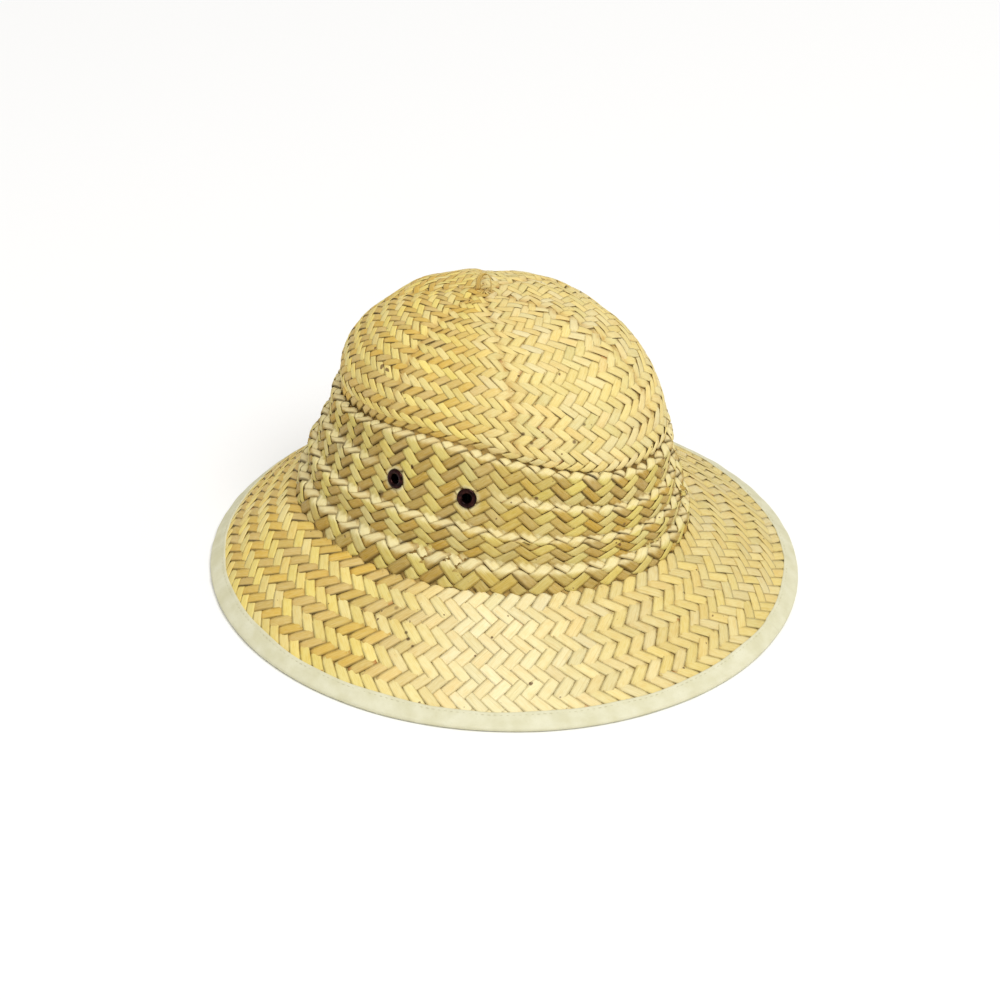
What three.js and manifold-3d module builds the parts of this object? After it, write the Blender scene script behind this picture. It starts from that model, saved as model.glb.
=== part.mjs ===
// A woven straw pith helmet with a bound rim. Millimetres, +Z up, the front towards -Y.
import * as THREE from 'three';
import { mergeVertices } from 'three/addons/utils/BufferGeometryUtils.js';
import Module from 'manifold-3d';

const wasm = await Module();
wasm.setup();

// Driving sizes of the hat
const brimLength = 345;
const brimWidth = 340;
const crownHeight = 181.4;
const straw = 2;
const gap = 0.3;

// The crown at its foot, where it meets the brim, and at its shoulder, where the dome starts
const footLength = 233;
const footWidth = 196.6;
const footHeight = 44.8;
const footSetback = 8.6;
const shoulderLength = 198;
const shoulderWidth = 149;
const shoulderHeight = 118;
const crownSetback = 3.5;
const brimBend = 1.12;

// The dome is a round of quarter arches over the shoulder. Its arches are fuller in plan at the front
// and fuller in height at the back, and its top lies further back than its foot.
const dome = { setback: 12, lag: 2.4, plan: 2.2, planToFront: 0.87, rise: 2.22, riseToFront: -0.6 };

// Each pleat round the wall juts out at its lip and is tucked in above it, and all of them dip
// towards the front and the back of the hat. The dip is gone halfway up the dome.
const pleatOut = 3.5;
const pleatIn = 1.3;
const pleatDrop = 2.2;
const frontDip = 7.6;
const endDip = 16.6;
const dipGone = Math.PI / 4;

// The six pressed seams of the dome
const seamCount = 6;
const seamDepth = 0.9;

// The cloth binding round the rim
const binding = { cloth: 0.9, reach: 10.4, restsOn: 0.45 };

// The eyelets, a pair on each side of the crown
const eyelet = {
  flange: 11, bore: 5.6, metal: 0.5, lip: 10, spacing: 48, behind: 7.7, height: 95.5, press: 0.5,
};
const smoothBeside = 24;

// The straw loop on top
const loop = { height: 10, span: 5.5, strip: 3, thick: 1 };

const columns = 60;

// Pleats: rise up the wall, strength as a share of a full pleat and dip as a share of the whole dip.
// Only the third one gives way to the eyelets, where the wall is pressed smooth.
const pleats = [
  { name: 'low', rise: 0.236, strength: 1, dip: 0.29, givesWay: 0 },
  { name: 'second', rise: 0.488, strength: 1, dip: 0.53, givesWay: 0 },
  { name: 'third', rise: 0.8, strength: 0.85, dip: 0.9, givesWay: 1 },
  { name: 'top', rise: 1.07, strength: 1, dip: 0.9, givesWay: 0 },
];
const brimShares = [0, 0.2, 0.4, 0.6, 0.8, 0.93];
const domeSteps = 9;

const mix = (a, b, t) => a + (b - a) * t;
const ring = (length, width, centre, height) => ({ a: length / 2, b: width / 2, centre, height });
const mixRings = (p, q, t, heightShare = t) => ({
  a: mix(p.a, q.a, t),
  b: mix(p.b, q.b, t),
  centre: mix(p.centre, q.centre, t),
  height: mix(p.height, q.height, heightShare),
});

// The straw ends inside the fold of the binding, which rests on the table
const rimInset = gap + binding.cloth;
const rimHeight = straw / 2 + gap + binding.cloth;
const rim = ring(brimLength - 2 * rimInset, brimWidth - 2 * rimInset, 0, rimHeight);
const foot = ring(footLength, footWidth, footSetback, footHeight);
const shoulder = ring(shoulderLength, shoulderWidth, crownSetback, shoulderHeight);

// Radius of an oval ring at an angle from the front, in plan
function ovalRadius({ a, b }, angle) {
  return 1 / Math.hypot(Math.sin(angle) / b, Math.cos(angle) / a);
}

// The sections of the outer skin, from the rim up: each gives a ring, a step outwards and a dip
function sections() {
  const rows = [];
  for (const share of brimShares) {
    rows.push({ ring: mixRings(rim, foot, share, 1 - (1 - share) ** brimBend), step: 0, dip: 0, seam: 0 });
  }
  rows.push({ ring: foot, step: 0, dip: 0, seam: 0 });
  const half = pleatDrop / (shoulderHeight - footHeight) / 2;
  for (const pleat of pleats) {
    const common = { dip: pleat.dip, seam: 0, givesWay: pleat.givesWay };
    const lip = mixRings(foot, shoulder, pleat.rise - half);
    const ledge = mixRings(foot, shoulder, pleat.rise + half);
    rows.push({ ring: lip, step: pleat.strength * pleatOut, ...common });
    rows.push({ ring: ledge, step: -pleat.strength * pleatIn, ...common });
  }
  const fullDip = pleats[pleats.length - 1].dip;
  for (let i = 1; i <= domeSteps; i += 1) {
    const turn = (i / (domeSteps + 1)) * Math.PI / 2;
    const centre = crownSetback + dome.setback * Math.sin(turn) ** dome.lag;
    const seam = Math.sin(Math.PI * i / (domeSteps + 1));
    const dip = fullDip * Math.max(0, 1 - turn / dipGone);
    rows.push({ ring: { ...shoulder, centre }, turn, step: 0, dip, seam });
  }
  return rows;
}
const bodyRows = sections();
const apexCentre = crownSetback + dome.setback;

// The angle from the front, on one side, where an eyelet at a distance behind the middle lies
const angleBehind = (distance) => Math.PI / 2 + Math.atan2(distance, (footWidth + shoulderWidth) / 4);

// How smooth the wall is pressed at an angle: 1 between and beside the eyelets, 0 away from them
function smoothAt(angle) {
  const fromMiddle = Math.abs(angleBehind(eyelet.behind) - Math.acos(Math.cos(angle)));
  const halfZone = angleBehind(eyelet.spacing / 2 + smoothBeside / 2) - Math.PI / 2;
  const fade = angleBehind(smoothBeside) - Math.PI / 2;
  return THREE.MathUtils.clamp(1 - (fromMiddle - halfZone) / fade, 0, 1);
}

// A section's step at an angle. Where it gives way, it lies straight between the pleats beside it.
function stepAt(i, angle) {
  const row = bodyRows[i];
  if (!row.givesWay) return row.step;
  const below = row.step > 0 ? i - 1 : i - 2;
  const above = below + 3;
  const share = (row.ring.height - bodyRows[below].ring.height)
    / (bodyRows[above].ring.height - bodyRows[below].ring.height);
  const straight = mix(bodyRows[below].step, bodyRows[above].step, share);
  return mix(row.step, straight, smoothAt(angle));
}

// How far a section hangs lower at an angle, strongest at the front
function dipAt(angle) {
  const front = (1 + Math.cos(angle)) / 2;
  return frontDip * front ** 2 + endDip * Math.cos(angle) ** 2 - frontDip / 4;
}

// The outer skin's line in the plane of one column: a radius and a height for each section
function skinLine(angle) {
  const nearSeam = Math.abs(Math.sin(angle * seamCount / 2)) < 1e-6;
  const inPlan = 2 / (dome.plan + dome.planToFront * Math.cos(angle));
  const inHeight = 2 / (dome.rise + dome.riseToFront * Math.cos(angle));
  return bodyRows.map((row, i) => {
    const crease = nearSeam ? row.seam * seamDepth : 0;
    const turn = row.turn ?? 0;
    const radius = ovalRadius(row.ring, angle) * Math.cos(turn) ** inPlan + stepAt(i, angle);
    const height = mix(row.ring.height, crownHeight, turn > 0 ? Math.sin(turn) ** inHeight : 0);
    return new THREE.Vector2(radius - crease * 0.5, height - row.dip * dipAt(angle) - crease);
  });
}

// The column's line moved inwards by a distance, square to itself
function insetLine(line, distance) {
  return line.map((point, i) => {
    const before = line[Math.max(i - 1, 0)];
    const after = line[Math.min(i + 1, line.length - 1)];
    const along = after.clone().sub(before).normalize();
    return new THREE.Vector2(point.x - along.y * distance, point.y + along.x * distance);
  });
}

// Triangles between two closed rings of vertices, facing out when the second lies above the first
function band(index, low, high) {
  for (let j = 0; j < columns; j += 1) {
    const k = (j + 1) % columns;
    index.push(low + j, low + k, high + k, low + j, high + k, high + j);
  }
}

function solidFrom(geometry) {
  const bare = geometry.clone();
  bare.deleteAttribute('normal');
  bare.deleteAttribute('uv');
  const merged = mergeVertices(bare, 1e-4);
  const mesh = new wasm.Mesh({
    numProp: 3,
    vertProperties: new Float32Array(merged.attributes.position.array),
    triVerts: new Uint32Array(merged.index.array),
  });
  return new wasm.Manifold(mesh);
}

function geometryFrom(solid) {
  const mesh = solid.getMesh();
  const geometry = new THREE.BufferGeometry();
  geometry.setAttribute('position', new THREE.BufferAttribute(new Float32Array(mesh.vertProperties), 3));
  geometry.setIndex(new THREE.BufferAttribute(new Uint32Array(mesh.triVerts), 1));
  const flat = geometry.toNonIndexed();
  flat.computeVertexNormals();
  return flat;
}

// The thin shell of crown and brim, closed round the rim and at the top
function strawShell() {
  const outer = [];
  const inner = [];
  for (let j = 0; j < columns; j += 1) {
    const angle = (j / columns) * 2 * Math.PI;
    const line = skinLine(angle);
    const inside = insetLine(line, straw);
    const place = (p, row) => [p.x * Math.sin(angle), row.ring.centre - p.x * Math.cos(angle), p.y];
    outer.push(line.map((p, i) => place(p, bodyRows[i])));
    inner.push(inside.map((p, i) => place(p, bodyRows[i])));
  }
  const positions = [];
  const index = [];
  const addRing = (lines, i) => {
    const first = positions.length / 3;
    lines.forEach((line) => positions.push(...line[i]));
    return first;
  };
  const last = bodyRows.length - 1;
  const outerRings = bodyRows.map((row, i) => addRing(outer, i));
  const innerRings = bodyRows.map((row, i) => addRing(inner, i));
  for (let i = 0; i < last; i += 1) {
    band(index, outerRings[i], outerRings[i + 1]);
    band(index, innerRings[i + 1], innerRings[i]);
  }
  band(index, innerRings[0], outerRings[0]);
  const apex = positions.length / 3;
  positions.push(0, apexCentre, crownHeight);
  positions.push(0, apexCentre, crownHeight - straw);
  for (let j = 0; j < columns; j += 1) {
    const k = (j + 1) % columns;
    index.push(outerRings[last] + j, outerRings[last] + k, apex);
    index.push(innerRings[last] + k, innerRings[last] + j, apex + 1);
  }
  const geometry = new THREE.BufferGeometry();
  geometry.setAttribute('position', new THREE.Float32BufferAttribute(positions, 3));
  geometry.setIndex(index);
  return geometry;
}

// The binding's fold: its section in the brim's own slope, then swept round the rim
function bindingRing() {
  const near = mixRings(rim, foot, brimShares[1], 1 - (1 - brimShares[1]) ** brimBend);
  const clear = straw / 2 + gap;
  const skin = clear + binding.cloth;
  const section = [
    [-binding.reach, clear], [0, clear], [gap, clear - gap], [gap, gap - clear], [0, -clear],
    [-binding.reach, -clear], [-binding.reach, -skin], [0, -skin], [rimInset * 0.8, -clear * 0.7], [rimInset, 0],
    [rimInset * 0.8, clear * 0.7], [0, skin], [-binding.reach, skin],
  ];
  const positions = [];
  const index = [];
  for (let j = 0; j < columns; j += 1) {
    const angle = (j / columns) * 2 * Math.PI;
    const edge = new THREE.Vector2(ovalRadius(rim, angle), rim.height);
    const inner = new THREE.Vector2(ovalRadius(near, angle) - near.centre * Math.cos(angle), near.height);
    const out = edge.clone().sub(inner).normalize();
    const up = new THREE.Vector2(-out.y, out.x);
    const middle = edge.clone().addScaledVector(up, -straw / 2);
    for (const [u, v] of section) {
      const p = middle.clone().addScaledVector(out, u).addScaledVector(up, v);
      positions.push(p.x * Math.sin(angle), -p.x * Math.cos(angle), p.y);
    }
  }
  const n = section.length;
  for (let j = 0; j < columns; j += 1) {
    const k = (j + 1) % columns;
    for (let i = 0; i < n; i += 1) {
      const m = (i + 1) % n;
      index.push(j * n + i, j * n + m, k * n + m, j * n + i, k * n + m, k * n + i);
    }
  }
  const geometry = new THREE.BufferGeometry();
  geometry.setAttribute('position', new THREE.Float32BufferAttribute(positions, 3));
  geometry.setIndex(index);
  return geometry;
}

// Where an eyelet sits: its centre on the outer skin, and its direction out of the wall
function eyeletSeat(side, behind) {
  const angle = side * angleBehind(behind);
  const line = skinLine(angle);
  const above = line.findIndex((p, i) => i > brimShares.length && p.y > eyelet.height);
  const share = (eyelet.height - line[above - 1].y) / (line[above].y - line[above - 1].y);
  const radius = mix(line[above - 1].x, line[above].x, share);
  const { a, b } = bodyRows[above].ring;
  const outwards = new THREE.Vector3(Math.sin(angle) / b ** 2, -Math.cos(angle) / a ** 2, 0).normalize();
  const lean = Math.atan2(line[above - 1].x - line[above].x, line[above].y - line[above - 1].y);
  outwards.multiplyScalar(Math.cos(lean));
  outwards.z = Math.sin(lean);
  const middle = mix(bodyRows[above - 1].ring.centre, bodyRows[above].ring.centre, share);
  const centre = new THREE.Vector3(
    radius * Math.sin(angle), middle - radius * Math.cos(angle), eyelet.height);
  return { centre, outwards };
}

// A turned profile stood on a seat: radii and heights, heights counted outwards from the skin
function turnedOnSeat(profile, seat, sides) {
  const shape = new THREE.LatheGeometry(profile.map(([r, h]) => new THREE.Vector2(r, h)), sides);
  const turn = new THREE.Quaternion().setFromUnitVectors(new THREE.Vector3(0, 1, 0), seat.outwards);
  shape.applyQuaternion(turn);
  shape.translate(seat.centre.x, seat.centre.y, seat.centre.z);
  return shape;
}

function facingOut(geometry) {
  const flat = mergeVertices(geometry, 1e-4).toNonIndexed();
  const p = flat.attributes.position;
  const a = new THREE.Vector3();
  const b = new THREE.Vector3();
  const c = new THREE.Vector3();
  let volume = 0;
  for (let i = 0; i < p.count; i += 3) {
    a.fromBufferAttribute(p, i);
    b.fromBufferAttribute(p, i + 1);
    c.fromBufferAttribute(p, i + 2);
    volume += a.dot(b.cross(c));
  }
  if (volume > 0) return geometry;
  const turned = geometry.index.array;
  for (let i = 0; i < turned.length; i += 3) {
    [turned[i], turned[i + 1]] = [turned[i + 1], turned[i]];
  }
  return geometry;
}

// The rolled brass ring: a flange outside, a barrel through the straw and a smaller lip inside
function eyeletProfile() {
  const bore = eyelet.bore / 2;
  const barrel = bore + eyelet.metal;
  const top = -eyelet.press + gap;
  const under = top - 2 * gap - straw;
  const crown = top + 2 * eyelet.metal;
  const lip = under - eyelet.metal;
  return [
    [bore, lip], [eyelet.lip / 2, lip], [eyelet.lip / 2, under], [barrel, under], [barrel, top],
    [eyelet.flange / 2, top], [eyelet.flange / 2, top + eyelet.metal * 0.8], [eyelet.flange / 2 - 0.8, crown],
    [bore + 0.5, crown], [bore, top + eyelet.metal], [bore, lip],
  ];
}

// What the straw gives way to: a flat pressed seat under the flange, one under the lip, and the hole
function eyeletRoom(seat) {
  const hole = eyelet.bore / 2 + eyelet.metal + gap;
  const wide = eyelet.flange / 2 + gap;
  const top = -eyelet.press;
  const under = top - straw;
  const far = 4 * straw;
  return turnedOnSeat([
    [0, under - far], [wide, under - far], [wide, under], [hole, under], [hole, top], [wide, top],
    [wide, top + far], [0, top + far],
  ], seat, 24);
}

// The loop: a strip of straw bent into an arch, its two feet on the crown
function loopArch() {
  const half = loop.span / 2;
  const bend = [];
  for (let i = 0; i <= 10; i += 1) {
    const turn = Math.PI * i / 10;
    const height = (loop.height - loop.thick / 2) * Math.sin(turn) ** 0.7;
    bend.push(new THREE.Vector3(-half * Math.cos(turn), 0, height));
  }
  const strip = new THREE.Shape();
  strip.moveTo(-loop.thick / 2, -loop.strip / 2);
  strip.lineTo(loop.thick / 2, -loop.strip / 2);
  strip.lineTo(loop.thick / 2, loop.strip / 2);
  strip.lineTo(-loop.thick / 2, loop.strip / 2);
  const path = new THREE.CatmullRomCurve3(bend);
  const arch = new THREE.ExtrudeGeometry(strip, { steps: 14, bevelEnabled: false, extrudePath: path });
  arch.rotateZ(Math.PI / 2);
  arch.translate(0, apexCentre, crownHeight + gap);
  return arch;
}

const strawColour = new THREE.MeshStandardMaterial({ color: 0xe3d296, roughness: 0.7, metalness: 0 });
const clothColour = new THREE.MeshStandardMaterial({ color: 0xe4e2c3, roughness: 0.9, metalness: 0 });
const bronzeColour = new THREE.MeshStandardMaterial({ color: 0x3a2019, roughness: 0.35, metalness: 0.8 });

function named(name, geometry, material) {
  const mesh = new THREE.Mesh(geometry, material);
  mesh.name = name;
  return mesh;
}

const helmet = new THREE.Group();

const seats = [];
for (const [sideName, side] of [['right', -1], ['left', 1]]) {
  for (const [endName, end] of [['front', -1], ['back', 1]]) {
    const seat = eyeletSeat(side, eyelet.behind + end * eyelet.spacing / 2);
    seats.push({ name: `eyelet_${sideName}_${endName}`, seat });
  }
}

let body = solidFrom(strawShell());
for (const { name, seat } of seats) {
  body = body.subtract(solidFrom(facingOut(mergeVertices(eyeletRoom(seat), 1e-4))));
  const ringShape = solidFrom(facingOut(mergeVertices(turnedOnSeat(eyeletProfile(), seat, 20), 1e-4)));
  helmet.add(named(name, geometryFrom(ringShape), bronzeColour));
}
helmet.add(named('straw_body', geometryFrom(body), strawColour));

// The fold is cut level where it rests, so that the rim has a narrow flat foot
const fold = solidFrom(facingOut(bindingRing()));
const lowest = fold.boundingBox().min[2];
const level = lowest + binding.restsOn;
helmet.add(named('edge_binding', geometryFrom(fold.trimByPlane([0, 0, 1], level)), clothColour));
helmet.add(named('top_loop', geometryFrom(solidFrom(loopArch())), strawColour));

// The cut foot stands on the ground plane
helmet.position.z = -level;
export default helmet;
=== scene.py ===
import bpy
import math
import numpy as np
from mathutils import Matrix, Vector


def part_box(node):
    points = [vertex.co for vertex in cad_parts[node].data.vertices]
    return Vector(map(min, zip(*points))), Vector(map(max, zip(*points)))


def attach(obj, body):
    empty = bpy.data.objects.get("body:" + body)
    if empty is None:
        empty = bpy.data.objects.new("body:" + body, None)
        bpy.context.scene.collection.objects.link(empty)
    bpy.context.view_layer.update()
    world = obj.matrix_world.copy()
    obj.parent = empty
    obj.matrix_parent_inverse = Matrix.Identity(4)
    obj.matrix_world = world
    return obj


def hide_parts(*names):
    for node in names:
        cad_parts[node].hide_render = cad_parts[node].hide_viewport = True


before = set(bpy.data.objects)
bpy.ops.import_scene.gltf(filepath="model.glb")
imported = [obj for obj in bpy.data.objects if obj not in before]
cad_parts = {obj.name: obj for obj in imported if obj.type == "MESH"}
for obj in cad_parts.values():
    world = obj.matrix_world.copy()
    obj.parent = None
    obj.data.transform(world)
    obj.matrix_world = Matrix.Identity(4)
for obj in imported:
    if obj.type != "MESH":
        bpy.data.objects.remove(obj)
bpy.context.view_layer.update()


# The straw skin
# Crown and brim are woven in one piece over a block: a sloping brim, a wall with four pleats stepped
# round it, and a dome with six pressed seams. Everything woven lies on this one curved skin, which has
# the same sizes as the CAD shell.
straw_low, straw_high = (np.array(corner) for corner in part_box("straw_body"))
rim_long = (straw_high - straw_low)[1] / 2
rim_wide = (straw_high - straw_low)[0] / 2
crown_top = straw_high[2]
rim_level = 0.0018
straw = 0.002

# The crown's foot and shoulder: half their length and width, their height, and how far back they stand
foot_long, foot_wide, foot_level, foot_setback = 0.233 / 2, 0.1966 / 2, 0.0444, 0.0086
shoulder_long, shoulder_wide, shoulder_level, crown_setback = 0.198 / 2, 0.149 / 2, 0.1176, 0.0035
brim_bend = 1.12

# The dome: how far back its top stands, how full it is in plan and in rise, how much more or less so at
# the front, and its pressed seams
apex_setback, apex_lag = 0.012, 2.4
full_plan, plan_to_front, full_rise, rise_to_front = 2.2, 0.87, 2.22, -0.6
seams, seam_depth, seam_half_width = 6, 0.0009, 0.0018

# The pleats: how far their lips and corners step, how tall a ledge is, how they dip at the front and the
# back, and where the eyelets press the wall smooth between them
pleat_out, pleat_in, pleat_drop = 0.0035, 0.0013, 0.0022
front_dip, end_dip, dip_gone = 0.0076, 0.0166, math.pi / 4
eyelet_behind, eyelet_spacing, smooth_beside = 0.0077, 0.048, 0.024
fold_softness, wave_height = 4, 0.0006

# Each pleat: rise up the wall, strength, share of the dip, whether eyelets smooth it, and rows of weave
pleats = (
    dict(rise=0.236, strength=1.0, dip=0.29, gives_way=0, rows=2),
    dict(rise=0.488, strength=1.0, dip=0.53, gives_way=0, rows=3),
    dict(rise=0.8, strength=0.85, dip=0.9, gives_way=1, rows=3),
    dict(rise=1.07, strength=1.0, dip=0.9, gives_way=0, rows=3),
)

# How many rows of the weave each part of the skin takes, from the rim up
brim_rows, wall_rows, dome_rows = 9, 11, 22
samples_per_row = 16
angles = np.linspace(0, 2 * np.pi, 721)


def mix(a, b, t):
    return a + (b - a) * t


def oval(long, wide, angle):
    """Distance from the middle of an oval to its edge, at an angle from its front."""
    return 1 / np.hypot(np.sin(angle) / wide, np.cos(angle) / long)


def wall_ring(rise, step, dip, angle):
    """A ring of the wall: the foot's and the shoulder's oval mixed by rise, and stepped outwards."""
    radius = mix(oval(foot_long, foot_wide, angle), oval(shoulder_long, shoulder_wide, angle), rise)
    drop = front_dip * ((1 + np.cos(angle)) / 2) ** 2 + end_dip * np.cos(angle) ** 2 - front_dip / 4
    level = mix(foot_level, shoulder_level, rise) - dip * drop
    return np.stack([radius + step, level, mix(foot_setback, crown_setback, rise) + 0 * angle], -1)


def along(knots, rows, slowing=0.0):
    """Points on each angle's line of knots: the first knot plus its part of every stretch between knots.

    The points are evenly spaced, or closer and closer together when slowing is more than 0.
    """
    even = np.linspace(0, 1, rows * samples_per_row + 1)
    share = even * (1 + slowing) - slowing * even ** 2
    gaps = np.diff(knots, axis=1)
    lengths = np.maximum(np.linalg.norm(gaps[..., :2], axis=-1), 1e-9)
    starts = np.cumsum(lengths, 1) - lengths
    reach = share[None, :, None] * lengths.sum(1)[:, None, None]
    shares = np.clip((reach - starts[:, None, :]) / lengths[:, None, :], 0, 1)
    return knots[:, :1] + np.einsum("aps,asc->apc", shares, gaps)


def smooth_at(angle):
    """1 where the wall is pressed smooth for the eyelets, 0 away from them, straight between."""
    half_width = (foot_wide + shoulder_wide) / 2
    side = np.arccos(np.cos(angle))
    off = np.abs(side - np.pi / 2 - np.arctan2(eyelet_behind, half_width))
    zone = np.arctan2(eyelet_spacing / 2 + smooth_beside / 2, half_width)
    return np.clip(1 - (off - zone) / np.arctan2(smooth_beside, half_width), 0, 1)


def skin_lines():
    """Radius, level and centre of the outer skin: the brim, each pleat's wall and ledge, then the dome."""
    share = np.linspace(0, 1, 9)[None, :]
    rim = np.stack([oval(rim_long, rim_wide, angles), rim_level + 0 * angles, 0 * angles], -1)[:, None]
    foot = wall_ring(0, 0, 0, angles)[:, None]
    brim = mix(rim, foot, share[..., None])
    brim[..., 1] = mix(foot_level, rim_level, (1 - share) ** brim_bend)
    parts = [along(brim, brim_rows)]
    half = pleat_drop / (shoulder_level - foot_level) / 2
    start = foot[:, 0]
    straight_from, out_from = 0.0, 0.0
    for pleat, after in zip(pleats, pleats[1:] + (pleats[-1],)):
        calm = smooth_at(angles) * pleat["gives_way"]
        lip_rise, top_rise = pleat["rise"] - half, pleat["rise"] + half
        reach = max(after["rise"] - half - straight_from, half)
        out_to = after["strength"] * pleat_out
        lip_straight = mix(out_from, out_to, (lip_rise - straight_from) / reach)
        top_straight = mix(out_from, out_to, (top_rise - straight_from) / reach)
        lip_step = mix(pleat["strength"] * pleat_out, lip_straight, calm)
        top_step = mix(-pleat["strength"] * pleat_in, top_straight, calm)
        lip = wall_ring(lip_rise, lip_step, pleat["dip"], angles)
        top = wall_ring(top_rise, top_step, pleat["dip"], angles)
        parts.append(along(np.stack([start, lip, top], 1), pleat["rows"])[:, 1:])
        start, straight_from, out_from = top, top_rise, -pleat["strength"] * pleat_in
    turn = np.linspace(np.pi / 18, np.pi / 2, 25)
    in_plan = 2 / (full_plan + plan_to_front * np.cos(angles))
    in_rise = 2 / (full_rise + rise_to_front * np.cos(angles))
    dome = [start]
    for t in turn:
        ring = wall_ring(1, 0, pleats[-1]["dip"] * max(0, 1 - t / dip_gone), angles)
        ring[:, 0] *= np.maximum(np.cos(t), 0) ** in_plan * (t < np.pi / 2)
        ring[:, 1] += (crown_top - shoulder_level) * np.sin(t) ** in_rise
        ring[:, 2] += apex_setback * np.sin(t) ** apex_lag
        dome.append(ring)
    parts.append(along(np.stack(dome, 1), dome_rows, 0.2)[:, 1:])
    return np.concatenate(parts, 1)


def softened(lines, half_width):
    """Each line averaged with its neighbours, which rounds the folds of the straw."""
    kernel = np.exp(-np.linspace(-2, 2, 2 * half_width + 1) ** 2)
    kernel /= kernel.sum()
    padded = np.concatenate([lines[:, :1]] * half_width + [lines] + [lines[:, -1:]] * half_width, 1)
    count = lines.shape[1]
    return sum(w * padded[:, k:k + count] for k, w in enumerate(kernel))


lines = softened(skin_lines(), fold_softness)
last_sample = lines.shape[1] - 1
all_rows = last_sample / samples_per_row
radius, level, centre = lines[..., 0], lines[..., 1], lines[..., 2]
row_at = np.arange(last_sample + 1) / samples_per_row
dome_start = brim_rows + wall_rows

# The pressed seams: shallow creases down the dome, deepest halfway
to_seam = np.abs((angles * seams / (2 * np.pi) + 0.5) % 1 - 0.5) * 2 * np.pi / seams
up_dome = np.clip((row_at - dome_start) / dome_rows, 0, 1)
crease = seam_depth * np.sin(np.pi * up_dome) * np.exp(-(to_seam[:, None] * radius / seam_half_width) ** 2)

# Slow waves, a few centimetres long, as no straw hat is quite even
long_wave = np.sin(5 * angles[:, None] + 0.25 * row_at)
short_wave = np.sin(11 * angles[:, None] - 0.4 * row_at + 2)
wave = wave_height * (long_wave + 0.8 * short_wave)
wave *= np.clip(row_at / 2, 0, 1) * np.clip((all_rows - row_at) / 4, 0, 1)
sideways, forwards = np.sin(angles)[:, None], np.cos(angles)[:, None]
skin_points = np.stack([radius * sideways, centre - radius * forwards, level], -1)


def grid_normals(points):
    """Directions out of a grid of points that closes on itself: the cross product of its two steps."""
    wrapped = np.concatenate([points[-2:-1], points, points[1:2]], 0)
    step_round = wrapped[2:] - wrapped[:-2]
    step_up = np.gradient(points, axis=1)
    normal = np.cross(step_round, step_up)
    normal[:, -1] = (0, 0, 1)
    return normal / np.maximum(np.linalg.norm(normal, axis=-1, keepdims=True), 1e-12)


skin_points = skin_points + grid_normals(skin_points) * (wave - crease)[..., None]
skin_normals = grid_normals(skin_points)
step_angle = angles[1] - angles[0]
round_speed = np.linalg.norm(np.gradient(skin_points, step_angle, axis=0), axis=-1)


def look_up(grid, angle, row):
    """The grid's value at any angle and row: the four nearest samples, weighted by nearness."""
    column = (angle / step_angle) % (len(angles) - 1)
    sample = np.clip(row, 0, all_rows) * samples_per_row
    left = np.minimum(column.astype(int), len(angles) - 2)
    under = np.minimum(sample.astype(int), last_sample - 1)
    across, up = column - left, sample - under
    if grid.ndim == 3:
        across, up = across[..., None], up[..., None]
    low = grid[left, under] * (1 - across) + grid[left + 1, under] * across
    high = grid[left, under + 1] * (1 - across) + grid[left + 1, under + 1] * across
    return low * (1 - up) + high * up


def on_skin(angle, row, out):
    """The skin's point at an angle and a row of the weave, moved out of it by a distance."""
    normal = look_up(skin_normals, angle, row)
    normal = normal / np.linalg.norm(normal, axis=-1, keepdims=True)
    return look_up(skin_points, angle, row) + normal * np.asarray(out)[..., None]


# Palm strips
# The straw is split palm leaf, 6 mm wide and dried, in a two-over-two weave at 45 degrees to the rings.
# On the brim and the dome its short floats stand in rows round the hat, and on the wall in columns.
strip_width, strip_thick = 0.0063, 0.0003
float_spacing = strip_width * math.sqrt(2)

# Columns round the wall, sectors that the brim's rows are counted in, how much of a float's ends lies
# under its neighbours, and how much of a plank a cut end takes to tuck under
wall_columns, brim_sectors = 64, 5
tuck, cut_tuck = 0.34, 0.16
view_side = math.radians(293)
rng = np.random.default_rng(7)


class Socket:
    """A socket whose values can be written as arithmetic: each operator adds its Math node."""

    def __init__(self, tree, socket):
        self.tree, self.socket = tree, socket

    def output(self, number):
        """Another output of the node that this socket belongs to."""
        return Socket(self.tree, self.socket.node.outputs[number])

    def maths(self, operation, *values):
        return add_node(self.tree, "ShaderNodeMath", 0, {"operation": operation}, *values)

    def __add__(self, other):
        return self.maths("ADD", self, other)

    def __sub__(self, other):
        return self.maths("SUBTRACT", self, other)

    def __mul__(self, other):
        return self.maths("MULTIPLY", self, other)

    def __truediv__(self, other):
        return self.maths("DIVIDE", self, other)

    def __radd__(self, other):
        return self.maths("ADD", other, self)

    def __rsub__(self, other):
        return self.maths("SUBTRACT", other, self)

    def __rmul__(self, other):
        return self.maths("MULTIPLY", other, self)

    def size(self):
        return self.maths("ABSOLUTE", self)

    def fraction(self):
        return self.maths("FRACT", self)

    def sine(self):
        return self.maths("SINE", self)

    def ramp(self, low, high):
        """0 below low, 1 above high, straight between."""
        return add_node(self.tree, "ShaderNodeMapRange", 0, None, self, low, high)


def join(tree, place, value):
    """Links a socket to a place in the tree, or sets a plain value there."""
    if isinstance(value, Socket):
        tree.links.new(value.socket, place)
    else:
        place.default_value = value


def add_node(tree, kind, output=0, settings=None, *in_order, **by_name):
    """A node of a kind: its settings first, then the values or links of its sockets, in order or by name."""
    made = tree.nodes.new(kind)
    for key, value in (settings or {}).items():
        setattr(made, key, value)
    for place, value in zip(made.inputs, in_order):
        join(tree, place, value)
    for key, value in by_name.items():
        join(tree, made.inputs[key], value)
    return Socket(tree, made.outputs[output])


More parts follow.
